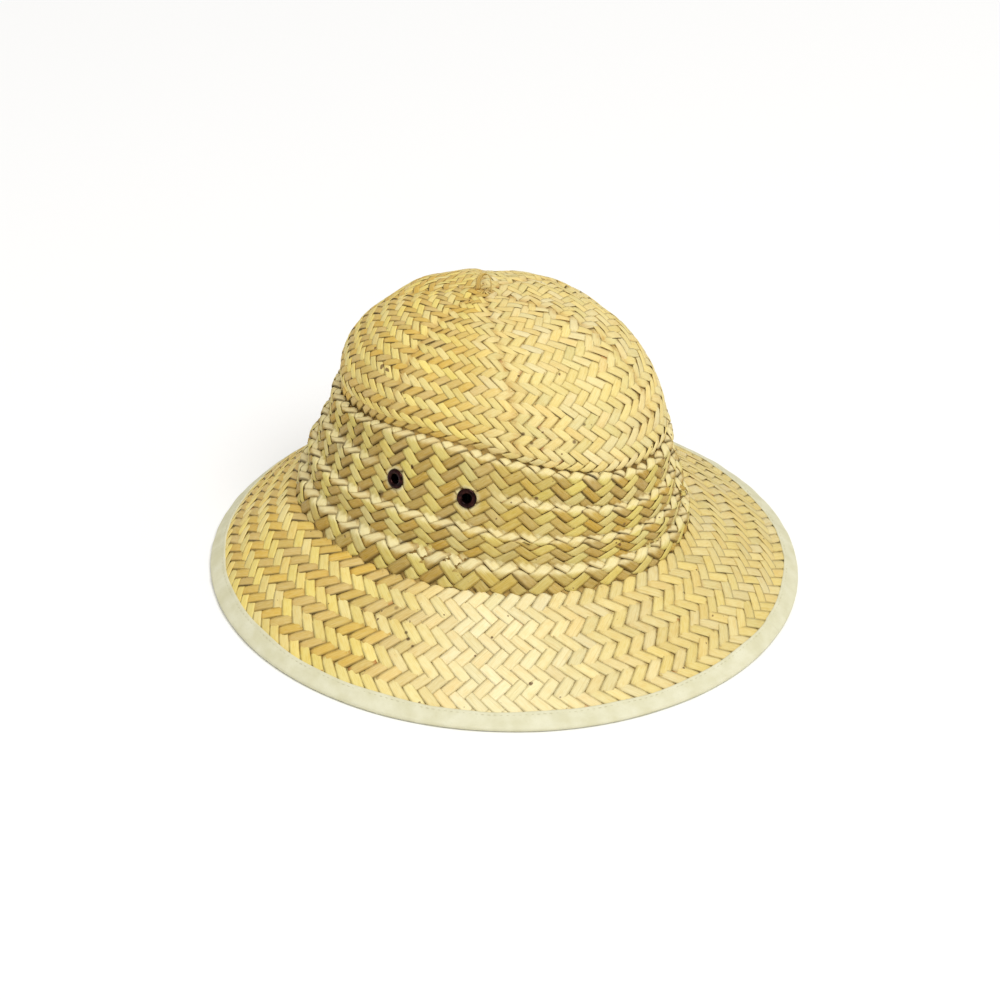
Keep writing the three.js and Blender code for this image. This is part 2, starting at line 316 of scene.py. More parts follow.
def blend_colours(tree, factor, first, second, mode="MIX"):
    """The first colour with the second mixed or multiplied into it by a factor."""
    made = add_node(tree, "ShaderNodeMix", 2, {"data_type": "RGBA", "blend_type": mode}, factor)
    join(tree, made.socket.node.inputs[6], first)
    join(tree, made.socket.node.inputs[7], second)
    return made


def new_material(name, roughness, metallic=0.0, specular=0.5):
    """A material with one principled shader, its node tree and that shader."""
    material = bpy.data.materials.new(name)
    material.use_nodes = True
    shader = material.node_tree.nodes["Principled BSDF"]
    shader.inputs["Roughness"].default_value = roughness
    shader.inputs["Metallic"].default_value = metallic
    shader.inputs["Specular IOR Level"].default_value = specular
    return material, material.node_tree, shader


def hue(red, green, blue):
    """A colour as a screen shows it, from 0 to 255, as the shader's linear light."""
    share = np.array([red, green, blue]) / 255
    return tuple(np.where(share <= 0.04045, share / 12.92, ((share + 0.055) / 1.055) ** 2.4)) + (1.0,)


ivory, sage, golden, amber = hue(243, 233, 196), hue(216, 207, 142), hue(236, 201, 122), hue(190, 146, 58)
# Painted light on the lips of the pleats, also the cream beside the eyelets, and painted shade in the
# corners above the pleats
lip_light_and_eyelet_cream = np.array(hue(242, 230, 176)[:3])
corner_shade_brown = np.array(hue(124, 82, 32)[:3])

# Painted sheen and shade: strips that run one way are painted as lit straw and those that run the other way
# as shaded straw, on the wall all round, and on the brim and the dome on the side away from the front. Light
# and pale are the lit copies, dark and deep the shaded ones. Each look: its colour, how far a float may lean
# to ivory, sage or golden, the least and the most of the painted shadow along its lower edge, the width of
# that shadow, and how much painted shade darkens the tucked ends.
straw_colours_and_painted_shade = dict(
    brim=dict(colour=(237, 224, 172), lean=0.36, line=(0.0, 0.26), width=0.15, ends=0.06),
    warm=dict(colour=(224, 202, 120), lean=0.45, line=(0.0, 0.70), width=0.20, ends=0.25),
    dome=dict(colour=(233, 212, 132), lean=0.50, line=(0.0, 0.80), width=0.26, ends=0.28),
    light=dict(colour=(216, 198, 99), lean=0.40, line=(0.10, 0.45), width=0.34, ends=0.40),
    dark=dict(colour=(188, 152, 47), lean=0.30, line=(0.65, 1.0), width=0.66, ends=0.55),
    pale=dict(colour=(236, 214, 114), lean=0.40, line=(0.0, 0.35), width=0.24, ends=0.22),
    deep=dict(colour=(219, 181, 73), lean=0.32, line=(0.65, 1.0), width=0.48, ends=0.42),
)

# Stains and knots that this hat has: angle from the front, row of the weave, radius and darkness
stains = (
    (265.0, 6.81, 0.0013, 0.5), (270.0, 5.38, 0.0010, 0.8), (271.0, 5.00, 0.0011, 0.9),
    (272.5, 4.62, 0.0009, 0.8), (292.5, 5.94, 0.0008, 0.9), (288.0, 9.12, 0.0013, 0.8),
    (344.5, 14.12, 0.0012, 0.7), (338.0, 14.69, 0.0010, 0.7), (307.5, 17.19, 0.0012, 0.9),
    (303.0, 23.12, 0.0011, 0.8), (306.0, 22.44, 0.0011, 0.8), (323.0, 22.88, 0.0012, 0.8),
    (328.5, 24.31, 0.0009, 0.7), (244.5, 14.38, 0.0022, 0.7), (218.0, 16.50, 0.0026, 0.5),
)


def fibre_material(name):
    """Dry palm: fine fibres along each strip, a painted shadow along its lower edge, painted shade on its
    tucked ends, splits and stains.

    It reads the strip's tint, its grain (place along, place across and a number of its own) and its shade
    (how strong and how wide the painted shadow along its lower edge is, and how dark the painted shade on
    its ends is).
    """
    material, tree, shader = new_material(name, 0.6, specular=0.35)
    tint = add_node(tree, "ShaderNodeAttribute", 0, {"attribute_name": "strip_tint"})
    grain = add_node(tree, "ShaderNodeAttribute", 1, {"attribute_name": "grain"})
    x = add_node(tree, "ShaderNodeSeparateXYZ", 0, None, Vector=grain)
    y, seed = x.output(1), x.output(2)
    shade = add_node(tree, "ShaderNodeAttribute", 1, {"attribute_name": "shade"})
    line = add_node(tree, "ShaderNodeSeparateXYZ", 0, None, Vector=shade)
    width, ends = line.output(1), line.output(2)
    streak_at = add_node(tree, "ShaderNodeCombineXYZ", 0, None, x * 0.55 + seed * 19, y * 3.2, seed * 7)
    streak = add_node(tree, "ShaderNodeTexNoise", 0, None, Vector=streak_at, Scale=2.6, Detail=4.0)
    blotch_at = add_node(tree, "ShaderNodeCombineXYZ", 0, None, x * 0.8, y * 0.6, seed * 31)
    blotch = add_node(tree, "ShaderNodeTexNoise", 0, None, Vector=blotch_at, Scale=1.3, Detail=2.0)
    # Painted shadow along the strip's lower edge, and painted shade where its ends tuck under the crossing
    # strips
    lower = ((width - y - 1) / width).ramp(0.0, 0.6) * line
    upper = y.ramp(0.84, 1.0)
    end = x.size().ramp(0.9, 1.25)
    split_from = (seed * 5.3).fraction()
    split = (1 - (y - split_from + 0.5).size().ramp(0.0, 0.07)) * seed.ramp(0.7, 0.75)
    shadow_line_colour = blend_colours(tree, line.ramp(0.3, 0.95), hue(218, 180, 92), hue(88, 69, 29))
    colour = blend_colours(tree, streak.ramp(0.4, 0.75) * 0.20, tint, hue(212, 184, 122), "MULTIPLY")
    colour = blend_colours(tree, blotch.ramp(0.5, 0.72) * 0.25, colour, hue(244, 216, 150), "MULTIPLY")
    colour = blend_colours(tree, streak.ramp(0.62, 0.3) * 0.12, colour, hue(255, 250, 226))
    colour = blend_colours(tree, lower * 0.85, colour, shadow_line_colour)
    colour = blend_colours(tree, upper * 0.20, colour, hue(206, 168, 84))
    colour = blend_colours(tree, split * 0.25, colour, hue(170, 140, 70))
    # Painted shade on the tucked ends
    colour = blend_colours(tree, end * ends, colour, hue(166, 128, 58))
    colour = blend_colours(tree, end * seed.ramp(0.955, 0.96) * 0.6, colour, hue(176, 92, 34))
    place = add_node(tree, "ShaderNodeTexCoord", 3)
    speck = add_node(tree, "ShaderNodeTexNoise", 0, None, Vector=place, Scale=230.0, Detail=1.0)
    colour = blend_colours(tree, speck.ramp(0.765, 0.79) * 0.8, colour, hue(96, 56, 26))
    stained = 0.0
    for angle, row, reach, darkness in stains:
        spot = on_skin(np.array([math.radians(angle)]), np.array([row]), np.array([strip_thick]))[0]
        away = add_node(tree, "ShaderNodeVectorMath", 1, {"operation": "DISTANCE"}, place, tuple(spot))
        stained = stained + away.ramp(1.3 * reach, 0.6 * reach) * darkness
    colour = blend_colours(tree, stained.ramp(0.0, 1.0), colour, hue(92, 62, 28))
    join(tree, shader.inputs["Base Color"], colour)
    join(tree, shader.inputs["Roughness"], 0.52 + streak * 0.25)
    bump = add_node(tree, "ShaderNodeBump", 0, None, Strength=0.35, Distance=0.0002, Height=streak)
    join(tree, shader.inputs["Normal"], bump)
    return material


palm = fibre_material("palm_strip")


def ring_lengths(row):
    """Running length round the hat at a row, for each of the tabled angles."""
    speed = look_up(round_speed, angles[:-1], np.full(len(angles) - 1, row))
    return np.concatenate([[0], np.cumsum(speed * step_angle)])


def row_pitch(row):
    """Mean distance up the skin from a row to the next."""
    low, high = (look_up(skin_points, angles, np.full(len(angles), row + k)) for k in (0.0, 1.0))
    return np.linalg.norm(high - low, axis=-1).mean()


def ring_row(row, side):
    """One row of floats round the brim or the dome, evenly spaced by length in each sector.

    A sector's count is odd in even rows and even in odd ones, which keeps the two slants in step.
    Each float gives: angle, spacing, row, slant, number of its strip, and turn out of the 45 degrees.
    """
    on_dome = row >= dome_start
    sectors = seams if on_dome else brim_sectors
    start = 0.0 if on_dome else view_side - np.pi / brim_sectors
    spacing = min(1.25 * row_pitch(row), 0.96 * float_spacing) if on_dome else float_spacing
    slant = 1 if (row + side) % 2 == 0 else -1
    lengths = ring_lengths(row + 0.5)
    found = []
    for sector in range(sectors):
        ends = start + (sector + np.array([0, 0.5, 1])) * 2 * np.pi / sectors
        laps = np.floor(ends / (2 * np.pi))
        low, _, high = np.interp(ends - laps * 2 * np.pi, angles, lengths) + laps * lengths[-1]
        wanted = (high - low) / spacing
        count = max(1 + row % 2, 2 * round((wanted - 1 + row % 2) / 2) + 1 - row % 2)
        index = np.arange(count)
        reach = low + (index + 0.5) * (high - low) / count
        angle = np.interp(reach % lengths[-1], lengths, angles)
        off = (angle - ends[1] + np.pi) % (2 * np.pi) - np.pi
        strip = index - count / 2 + 1000 * sector - slant * row
        narrowing = look_up(radius, angle, 0 * angle + row) - look_up(radius, angle, 0 * angle + row + 1)
        turn = -0.5 * off * np.clip(narrowing / row_pitch(row), 0, 1) * on_dome
        same = np.ones(count)
        found.append([angle, same * (high - low) / count, same * (row + 0.5), same * slant, strip, turn])
    return np.concatenate(found, axis=1)


def wall_column(column, side):
    """One column of floats up the wall: strips slant one way in it and the other way in the next.

    Odd columns stand half a row lower and have one float more, so that the weave locks and laps over the
    foot and the shoulder. The values are those of ring_row.
    """
    odd = column % 2
    rows = brim_rows + 0.5 - 0.5 * odd + np.arange(wall_rows + odd)
    lengths = np.array([ring_lengths(row) for row in rows])
    angle = [np.interp((column + 0.5) / wall_columns * of_row[-1], of_row, angles) for of_row in lengths]
    slant = 1 if (column + side) % 2 == 0 else -1
    same = np.ones(len(rows))
    spacing = lengths[:, -1] / wall_columns
    return np.array([angle, spacing, rows, same * slant, column - slant * rows, 0 * same])


def strip_tints(angle, row, slant, strip):
    """For each float its colour, and the strength and width of the painted shadow along its lower edge and
    the painted shade on its ends.

    Each look of the straw has a share in it, by the float's band, slant and side of the hat, so that a float
    is painted as lit or as shaded straw. A look's colour leans by chance to ivory and sage, and to golden
    along a whole strip, where by_strip scatters the strips' numbers evenly from 0 to 1.
    """
    count = len(angle)
    scattered = np.sin(np.round(strip) * 12.9898 + slant * 78.233) * 43758.5453
    by_strip = np.modf(np.abs(scattered))[0]
    luck = np.where(rng.random(count) < 0.6, by_strip, rng.random(count)) * 0.999
    # Painted sheen and shade: by its slant and its side of the hat a float is painted as lit or as shaded
    # straw.
    round_side = 2.0 * np.sin(angle - view_side - math.radians(6))
    facing = np.clip(round_side, -1, 1)
    on_brim = row < brim_rows
    darkness = np.clip(0.5 - 0.55 * slant * facing + 0.12 * rng.standard_normal(count), 0, 1)
    on_wall = (row > brim_rows - 0.3) & (row < dome_start + 0.2)
    toned = np.where(on_wall, 1, np.clip(-1.1 * round_side - 0.45 * on_brim, 0, 1))
    warmth = np.clip(facing, 0, 1) * on_brim
    shares = dict(
        light=on_wall * (1 - darkness), dark=on_wall * darkness,
        pale=~on_wall * toned * (1 - darkness), deep=~on_wall * toned * darkness,
        warm=~on_wall * (1 - toned) * warmth, brim=on_brim * ~on_wall * (1 - toned) * (1 - warmth),
        dome=~on_brim * ~on_wall * (1 - toned),
    )
    leaning = np.stack([luck, rng.random(count), rng.random(count)], -1) ** 3
    leaning /= np.maximum(leaning.sum(-1, keepdims=True), 1)
    others = np.array([golden, ivory, sage])[:, :3]
    fortune = rng.random(count) ** 1.6
    tints, shades = np.zeros((count, 3)), np.zeros((count, 3))
    for face, share in shares.items():
        kind = straw_colours_and_painted_shade[face]
        own = np.array(hue(*kind["colour"])[:3])
        lean = kind["lean"] * leaning
        as_bright = own.sum() / others.mean(0).sum()
        leaned = own * (1 - lean.sum(-1, keepdims=True)) + (lean @ others) * as_bright
        tints += share[:, None] * leaned
        shade = [mix(*kind["line"], fortune), np.full(count, kind["width"]), np.full(count, kind["ends"])]
        shades += share[:, None] * np.stack(shade, -1)
    # Painted shadow: on the brim and the dome the shadow along the lower edges grows or fades with the
    # float's slant on one side of the hat.
    shades[:, 0] *= np.where(on_wall, 1, 1 - 0.4 * slant * np.maximum(facing, 0))
    tints *= 1 + 0.035 * rng.standard_normal((count, 1))
    return np.clip(tints, 0.01, 1), shades


def eyelet_seat(node):
    """Where an eyelet stands: its middle on the skin, and the way out of the wall there."""
    low, high = (np.array(corner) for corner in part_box(node))
    middle = (low + high) / 2
    rows = np.linspace(brim_rows, dome_start, 400)
    angle, row = np.arctan2(middle[0], crown_setback - middle[1]), brim_rows + wall_rows / 2
    for _ in range(4):
        level_with = look_up(centre, np.array([angle]), np.array([row]))[0]
        angle = np.arctan2(middle[0], level_with - middle[1]) % (2 * np.pi)
        heights = look_up(skin_points, np.full(400, angle), rows)[:, 2]
        row = np.interp(middle[2], heights, rows)
    seat = on_skin(np.array([angle]), np.array([row]), np.array([0.0]))[0]
    axis = look_up(skin_normals, np.array([angle]), np.array([row]))[0]
    return seat, axis / np.linalg.norm(axis)


eyelet_names = [f"{side}_{end}" for side in ("right", "left") for end in ("front", "back")]
seats = {name: eyelet_seat(f"eyelet_{name}") for name in eyelet_names}
hole_radius = 0.0034
press_reach, press_fade, press_depth = 0.0074, 0.0016, 0.0008


def round_eyelets(points, normals, out):
    """Points moved out along their normals, but pressed flat and spread apart round each eyelet's hole."""
    for seat, axis in seats.values():
        away = points - seat
        away = away - (away @ axis)[..., None] * axis
        press = np.clip((press_reach - np.linalg.norm(away, axis=-1)) / press_fade, 0, 1)
        out = out - np.sign(out + straw / 2) * press * press_depth
    points = points + normals * out[..., None]
    for seat, axis in seats.values():
        away = points - seat
        along_axis = (away @ axis)[..., None] * axis
        flat = away - along_axis
        far = np.maximum(np.linalg.norm(flat, axis=-1, keepdims=True), 1e-6)
        near_wall = np.linalg.norm(along_axis, axis=-1, keepdims=True) < 4 * straw
        inside = (far < hole_radius) & near_wall
        points = np.where(inside, seat + along_axis + flat * hole_radius / far, points)
    return points


def make_piece(name, points, faces, material):
    """A mesh of the points and faces as they are, placed on the frame's one body at the origin."""
    mesh = bpy.data.meshes.new(name)
    mesh.from_pydata(points.reshape(-1, 3).tolist(), [], faces)
    mesh.shade_smooth()
    mesh.materials.append(material)
    piece = bpy.data.objects.new(name, mesh)
    bpy.context.scene.collection.objects.link(piece)
    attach(piece, "root")
    return piece


def grid_faces(rows, columns, close_rows=False, close_columns=False):
    """Four-sided faces between neighbouring points of a grid, row by row."""
    row = np.arange(rows if close_rows else rows - 1)[:, None]
    column = np.arange(columns if close_columns else columns - 1)[None, :]
    next_row, next_column = (row + 1) % rows * columns, (column + 1) % columns
    row = row * columns
    quads = np.stack([row + column, row + next_column, next_row + next_column, next_row + column], -1)
    return quads.reshape(-1, 4).tolist()


def add_layer(piece, name, values):
    """Keeps three numbers for each point of a piece, which its material reads by the layer's name."""
    layer = piece.data.attributes.new(name, "FLOAT_VECTOR", "POINT")
    layer.data.foreach_set("vector", values.astype(np.float32).ravel())


def add_tints(piece, tints):
    """Keeps a colour for each point of a woven piece."""
    layer = piece.data.color_attributes.new("strip_tint", "FLOAT_COLOR", "POINT")
    layer.data.foreach_set("color", tints.astype(np.float32).ravel())


def split_at_holes(middle, stations, along_at):
    """Planks that would run over an eyelet's hole are cut in two there: one ends before it, one after.

    A part shorter than the shortest share of a plank is left out.
    """
    strip_reach, shortest = 0.014, 0.12
    kept, cut_stations = [], []
    for number, (own, line) in enumerate(zip(stations, along_at)):
        spans = [(own[0], own[-1])]
        for seat, axis in seats.values():
            if np.linalg.norm(middle[number] - seat) > strip_reach:
                continue
            away = line - seat
            away = away - (away @ axis)[:, None] * axis
            inside = np.linalg.norm(away, axis=-1) < hole_radius
            if inside.any():
                at = np.linspace(own[0], own[-1], len(line))[inside]
                spans = [(own[0], at[0]), (at[-1], own[-1])]
        for low, high in spans:
            if high - low > shortest:
                kept.append(number)
                cut_stations.append(own if len(spans) == 1 else np.linspace(low, high, len(own)))
    return np.array(kept), np.array(cut_stations)


def plank_places(floats, x, y):
    """Angle and row at places on the planks: x along each float and y across it, both in row spacings."""
    angle, gap, row, slant, way, lowest, highest = (value[:, None, None] for value in floats)
    dx = slant * x * np.cos(way) - slant * y * np.sin(way)
    dy = x * np.sin(way) + y * np.cos(way)
    rows = np.clip(row + dy, lowest, highest)
    speed = np.maximum(look_up(round_speed, np.broadcast_to(angle, rows.shape), rows), 0.004)
    return angle + dx * gap / speed, rows


def fold_light_and_shade(angle, row):
    """How much painted light a place gets as the lip of a pleat, and how much painted shade as the corner
    above one.

    Each fold ends at a whole row: the lip is the 0.7 of a row below that, the corner the first 0.2 above.
    """
    lip, corner = np.zeros(row.shape), np.zeros(row.shape)
    top = brim_rows
    for pleat in pleats:
        top += pleat["rows"]
        here = 1 - pleat["gives_way"] * smooth_at(angle)
        below = top - row
        lip += here * np.clip((below + 0.05) / 0.1, 0, 1) * np.clip((0.8 - below) / 0.2, 0, 1)
        corner += here * np.clip(1 - np.abs(below + 0.08) / 0.10, 0, 1)
    return 0.75 * np.clip(lip, 0, 1), 0.5 * np.clip(corner, 0, 1)


def band_limits(row):
    """The lowest and the highest row that a float may reach: its own band of the weave, or just over it."""
    on_brim, on_dome = row < brim_rows - 0.3, row > dome_start + 0.2
    lowest = np.where(on_dome, dome_start, np.where(on_brim, 0.03, brim_rows - 0.05))
    highest = np.where(on_brim, brim_rows + 0.05, np.where(on_dome, all_rows - 0.02, dome_start))
    return lowest, highest


def painted(points, angle, row, tints, seeds):
    """Each point's colour: its float's own, then what the place on the hat does to it.

    It is painted shade, amber, in a pressed seam, painted light, cream, on the lip of a pleat, cream beside
    an eyelet, and painted shade, brown, in the corner above a pleat.
    """
    seam_shade_reach, eyelet_shine, shine_fade = 0.0011, 0.0082, 0.0016
    to_seam = np.abs((angle * seams / (2 * np.pi) + 0.5) % 1 - 0.5) * 2 * np.pi / seams
    # Painted shade: floats in a pressed seam are tinted amber
    in_seam = np.exp(-(to_seam * look_up(radius, angle, row) / seam_shade_reach) ** 2) * (row > dome_start + 0.5)
    lip_light, corner_shade = fold_light_and_shade(angle, row)
    tint = mix(tints, np.array(amber[:3]), (in_seam * (0.25 + 0.6 * seeds))[..., None])
    tint = mix(tint, lip_light_and_eyelet_cream, lip_light[..., None])
    tint = mix(tint, corner_shade_brown, (corner_shade * (0.25 + 0.75 * seeds))[..., None])
    for seat, _ in seats.values():
        beside = np.clip((eyelet_shine - np.linalg.norm(points - seat, axis=-1)) / shine_fade, 0, 1)
        tint = mix(tint, lip_light_and_eyelet_cream, 0.7 * beside[..., None])
    return np.concatenate([tint, np.ones(tint.shape[:3] + (1,))], -1)


# Stations along a plank, closer where the wall's folds or the dips of a ring's floats need them
wall_stations = np.linspace(-1, 1, 19)
ring_stations = np.array([-1, -0.8, -0.62, -0.3, 0.3, 0.62, 0.8, 1])

# The ring of points round a plank: how far across, how far up from its crown, and which are its underside
plank_ring = np.array([(-1, -1), (-0.5, -0.2), (0.5, -0.2), (1, -1), (0.9, -1), (-0.9, -1)])
plank_underside = np.array([0, 0, 0, 0, 1, 1])

# How high a plank's middle stands, how low its ends lie and how far its edges drop: flat, and more if plump
flat_high, plump_high = 0.00027, 0.00019
flat_low, plump_low = 0.00007, 0.00043
flat_drop, plump_drop = 0.00005, 0.00026


def plank_heights(stations, tucked, plump, lift, tilt):
    """How far each point of each plank stands out of the skin.

    A plank is high in the middle and sinks at both ends, by a smooth step, under the strips that cross it.
    Its top is slightly crowned from edge to edge, and a cut end is tucked under as well.
    """
    sink = np.clip((np.abs(stations) - 0.5) / 0.32, 0, 1)
    sink = np.maximum(sink * sink * (3 - 2 * sink), tucked)
    high = flat_high + plump_high * plump + lift
    low = -flat_low - plump_low * plump + lift
    drop = flat_drop + plump_drop * plump
    across, down = plank_ring.T
    out = mix(high[:, None], low[:, None], sink)[..., None] + tilt[:, None, None] * across
    return out + drop[:, None, None] * down - plank_underside * strip_thick


def plank_faces(count, stations, mirrored):
    """The planks' faces: four-sided ones along them and a cap on each end, turned over where mirrored."""
    around = len(plank_ring)
    size = stations * around
    starts = np.arange(count)[:, None, None] * size
    sides = np.array(grid_faces(stations, around, close_columns=True))
    caps = np.array([np.arange(around)[::-1], np.arange(size - around, size)])
    faces = []
    for turned, step in ((False, 1), (True, -1)):
        chosen = starts[mirrored == turned]
        faces += (chosen + sides[None, :, ::step]).reshape(-1, 4).tolist()
        faces += (chosen + caps[None, :, ::step]).reshape(-1, around).tolist()
    return faces


def woven(name, rows, columns, side):
    """Floats of the weave in rows or columns, each a thin closed plank, as one piece.

    Side is 0 outside the hat and 1 inside. By chance each float differs a little in its way, length, width,
    lift, tilt and place, and in the number of its own that its colours are drawn from.
    """
    parts = [ring_row(row, side) for row in rows] + [wall_column(column, side) for column in columns]
    angle, gap, row, slant, strip, turn = np.concatenate(parts, axis=1)
    tints, shades = strip_tints(angle, row, slant, strip)
    count = len(angle)

    def chance(spread):
        return rng.uniform(-spread, spread, count)

    way = np.pi / 4 + turn * slant + chance(0.04)
    up = (row - dome_start) / dome_rows
    plump = np.where(row < brim_rows, 0.12, np.clip(0.95 - 2.4 * np.maximum(up, 0), 0.15, 1))
    half_length = (1 + tuck) * math.sqrt(0.5) * (1 + chance(0.03))
    half_width = math.sqrt(0.125) * (1.05 - 0.09 * plump + chance(0.025))
    lift = chance(0.00008)
    tilt = chance(0.00012)
    seeds = rng.random(count)
    lowest, highest = band_limits(row)
    floats = np.array([angle, gap, row + chance(0.02), slant, way, lowest, highest])

    # Stations run from -1 to 1 along a whole float, or to where its band ends and it is cut
    climb = half_length * np.sin(way)
    first = np.clip((lowest - row) / climb, -1, 0)[:, None]
    last = np.clip((highest - row) / climb, 0, 1)[:, None]
    evenly = ((wall_stations if len(columns) else ring_stations) + 1) / 2
    stations = mix(first, last, evenly[None, :])
    cut = np.stack([first[:, 0] > -1, last[:, 0] < 1], -1)
    trial = np.linspace(-1, 1, 41)[None, :, None] * half_length[:, None, None]
    line = look_up(skin_points, *plank_places(floats, trial, 0 * trial))[:, :, 0]
    kept, stations = split_at_holes(line[:, 20], stations, line)
    floats, cut, seeds = floats[:, kept], cut[kept], seeds[kept][:, None, None]

    along_it = stations[:, :, None] * half_length[kept][:, None, None]
    across_it = plank_ring[None, None, :, 0] * half_width[kept][:, None, None]
    across_it = across_it * (1 - 0.06 * stations[:, :, None] ** 4)
    at, at_rows = plank_places(floats, along_it + 0 * across_it, across_it)
    to_end = np.stack([1 - evenly / cut_tuck, 1 - (1 - evenly) / cut_tuck])
    tucked = np.clip(to_end[None] * cut[:, :, None], 0, 1).max(1)
    out = plank_heights(stations, tucked, plump[kept], lift[kept], tilt[kept])
    out = out if side == 0 else -straw - out
    normals = look_up(skin_normals, at, at_rows)
    normals = normals / np.linalg.norm(normals, axis=-1, keepdims=True)
    points = round_eyelets(look_up(skin_points, at, at_rows), normals, out)

    mirrored = (slant[kept] > 0) ^ (side == 1)
    faces = plank_faces(len(kept), stations.shape[1], mirrored)
    piece = make_piece(name, points, faces, palm)
    along_strip = stations[:, :, None] * (1 + tuck)
    places = np.broadcast_arrays(along_strip, plank_ring[None, None, :, 0], seeds)
    add_layer(piece, "grain", np.stack(places, -1))
    add_layer(piece, "shade", np.broadcast_to(shades[kept][:, None, None], points.shape))
    add_tints(piece, painted(points, at, at_rows, tints[kept][:, None, None], seeds))


brim_range, dome_range = range(brim_rows), range(dome_start, dome_start + dome_rows)
woven("brim_weave", brim_range, (), 0)
woven("dome_weave", dome_range, (), 0)
woven("wall_weave", (), range(wall_columns), 0)
woven("brim_weave_under", brim_range, (), 1)
woven("dome_weave_inside", dome_range, (), 1)
woven("wall_weave_inside", (), range(wall_columns), 1)


# The heart of the weave
# Between the two faces of the straw lie the strips that run underneath. A thin closed shell in the middle
# stands for them: golden straw in the brim and the dome, and shadowed brown in the wall's thicker plait.
heart, heart_tree, heart_shader = new_material("under_strips", 0.85, specular=0.2)
heart_place = add_node(heart_tree, "ShaderNodeTexCoord", 3)
heart_noise = add_node(
    heart_tree, "ShaderNodeTexNoise", 0, None, Vector=heart_place, Scale=160.0, Detail=2.0)
heart_height = add_node(heart_tree, "ShaderNodeSeparateXYZ", 2, None, Vector=heart_place)
above_foot = heart_height.ramp(foot_level - 0.004, foot_level + 0.004)
below_shoulder = heart_height.ramp(shoulder_level + 0.0074, shoulder_level - 0.0026)
in_wall = above_foot * below_shoulder
heart_colour = blend_colours(heart_tree, heart_noise.ramp(0.3, 0.7), hue(202, 166, 90), hue(226, 192, 116))
heart_colour = blend_colours(heart_tree, in_wall * 0.9, heart_colour, hue(112, 86, 38))
join(heart_tree, heart_shader.inputs["Base Color"], heart_colour)

heart_half, heart_columns = 0.00018, 240
heart_brim = np.linspace(0.05, brim_rows - 0.2, 14)
heart_wall = np.arange(brim_rows - 0.1, dome_start + 0.8, 0.125)
heart_dome = np.linspace(dome_start + 1, all_rows - 0.25, 36)
heart_at, heart_rows = np.meshgrid(
    np.arange(heart_columns) / heart_columns * 2 * np.pi,
    np.concatenate([heart_brim, heart_wall, heart_dome]),
    indexing="ij",
)
faces_out = on_skin(heart_at, heart_rows, np.full(heart_at.shape, -straw / 2 + heart_half))
faces_in = on_skin(heart_at, heart_rows, np.full(heart_at.shape, -straw / 2 - heart_half))
shell = np.concatenate([faces_out, faces_in[:, ::-1]], 1)
shell_faces = grid_faces(heart_columns, shell.shape[1], close_rows=True, close_columns=True)
under_strips = make_piece("under_strips", shell, [f[::-1] for f in shell_faces], heart)


def cut_hole(piece, seat, axis, radius):
    """Takes a round hole out of a piece: a cylinder of many flats, along the axis, is cut away from it."""
    flats, reach = 32, 0.006
    sideways = np.cross((0, 0, 1), axis)
    sideways /= np.linalg.norm(sideways)
    upright = np.cross(axis, sideways)
    spin = np.arange(flats) / flats * 2 * np.pi
    ring = seat + radius * (sideways * np.cos(spin)[:, None] + upright * np.sin(spin)[:, None])
    points = np.concatenate([ring - reach * axis, ring + reach * axis])
    caps = [list(range(flats))[::-1], list(range(flats, 2 * flats))]
    faces = grid_faces(2, flats, close_columns=True) + caps
    cutter_mesh = bpy.data.meshes.new("cutter")
    cutter_mesh.from_pydata(points.tolist(), [], faces)
    cutter = bpy.data.objects.new("cutter", cutter_mesh)
    bpy.context.scene.collection.objects.link(cutter)
    cut = piece.modifiers.new("hole", "BOOLEAN")
    cut.operation = "DIFFERENCE"
    cut.solver = "EXACT"
    cut.object = cutter
    seen = bpy.context.evaluated_depsgraph_get()
    piece.data = bpy.data.meshes.new_from_object(piece.evaluated_get(seen))
    piece.modifiers.clear()
    bpy.data.objects.remove(cutter)


for seat, axis in seats.values():
    cut_hole(under_strips, seat, axis, hole_radius - 0.0001)
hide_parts("straw_body")


# Edge binding
# The raw edge of the brim is bound with a cream cotton tape, folded over it and stitched through both
# faces near the tape's edge. It puckers a little between the stitches.
tape_reach = 0.0102
tape_clear, tape_thick = 0.00135, 0.0006
stitch_in, stitch_pitch = 0.0020, 0.0036
tape_stations = 720

tape, tape_tree, tape_shader = new_material("binding_tape", 0.85, specular=0.25)
tape_at = add_node(tape_tree, "ShaderNodeAttribute", 1, {"attribute_name": "cloth"})
along_tape = add_node(tape_tree, "ShaderNodeSeparateXYZ", 0, None, Vector=tape_at)
across_tape = along_tape.output(1)
thread_pitch = 0.00062
warp = (along_tape * (2 * math.pi / thread_pitch)).sine()
weft = (across_tape * (2 * math.pi / thread_pitch)).sine()
tape_noise = add_node(tape_tree, "ShaderNodeTexNoise", 0, None, Vector=tape_at, Scale=90.0, Detail=3.0)
slub = add_node(tape_tree, "ShaderNodeTexNoise", 0, None, Vector=tape_at, Scale=900.0, Detail=2.0)
tape_colour = blend_colours(tape_tree, tape_noise.ramp(0.35, 0.7), hue(214, 210, 176), hue(227, 224, 196))
tape_colour = blend_colours(tape_tree, slub.ramp(0.55, 0.75) * 0.25, tape_colour, hue(205, 198, 160))
join(tape_tree, tape_shader.inputs["Base Color"], tape_colour)
tape_height = warp * weft * 0.5 + slub
cloth_bump = add_node(
    tape_tree, "ShaderNodeBump", 0, None, Strength=0.5, Distance=0.00012, Height=tape_height)
join(tape_tree, tape_shader.inputs["Normal"], cloth_bump)


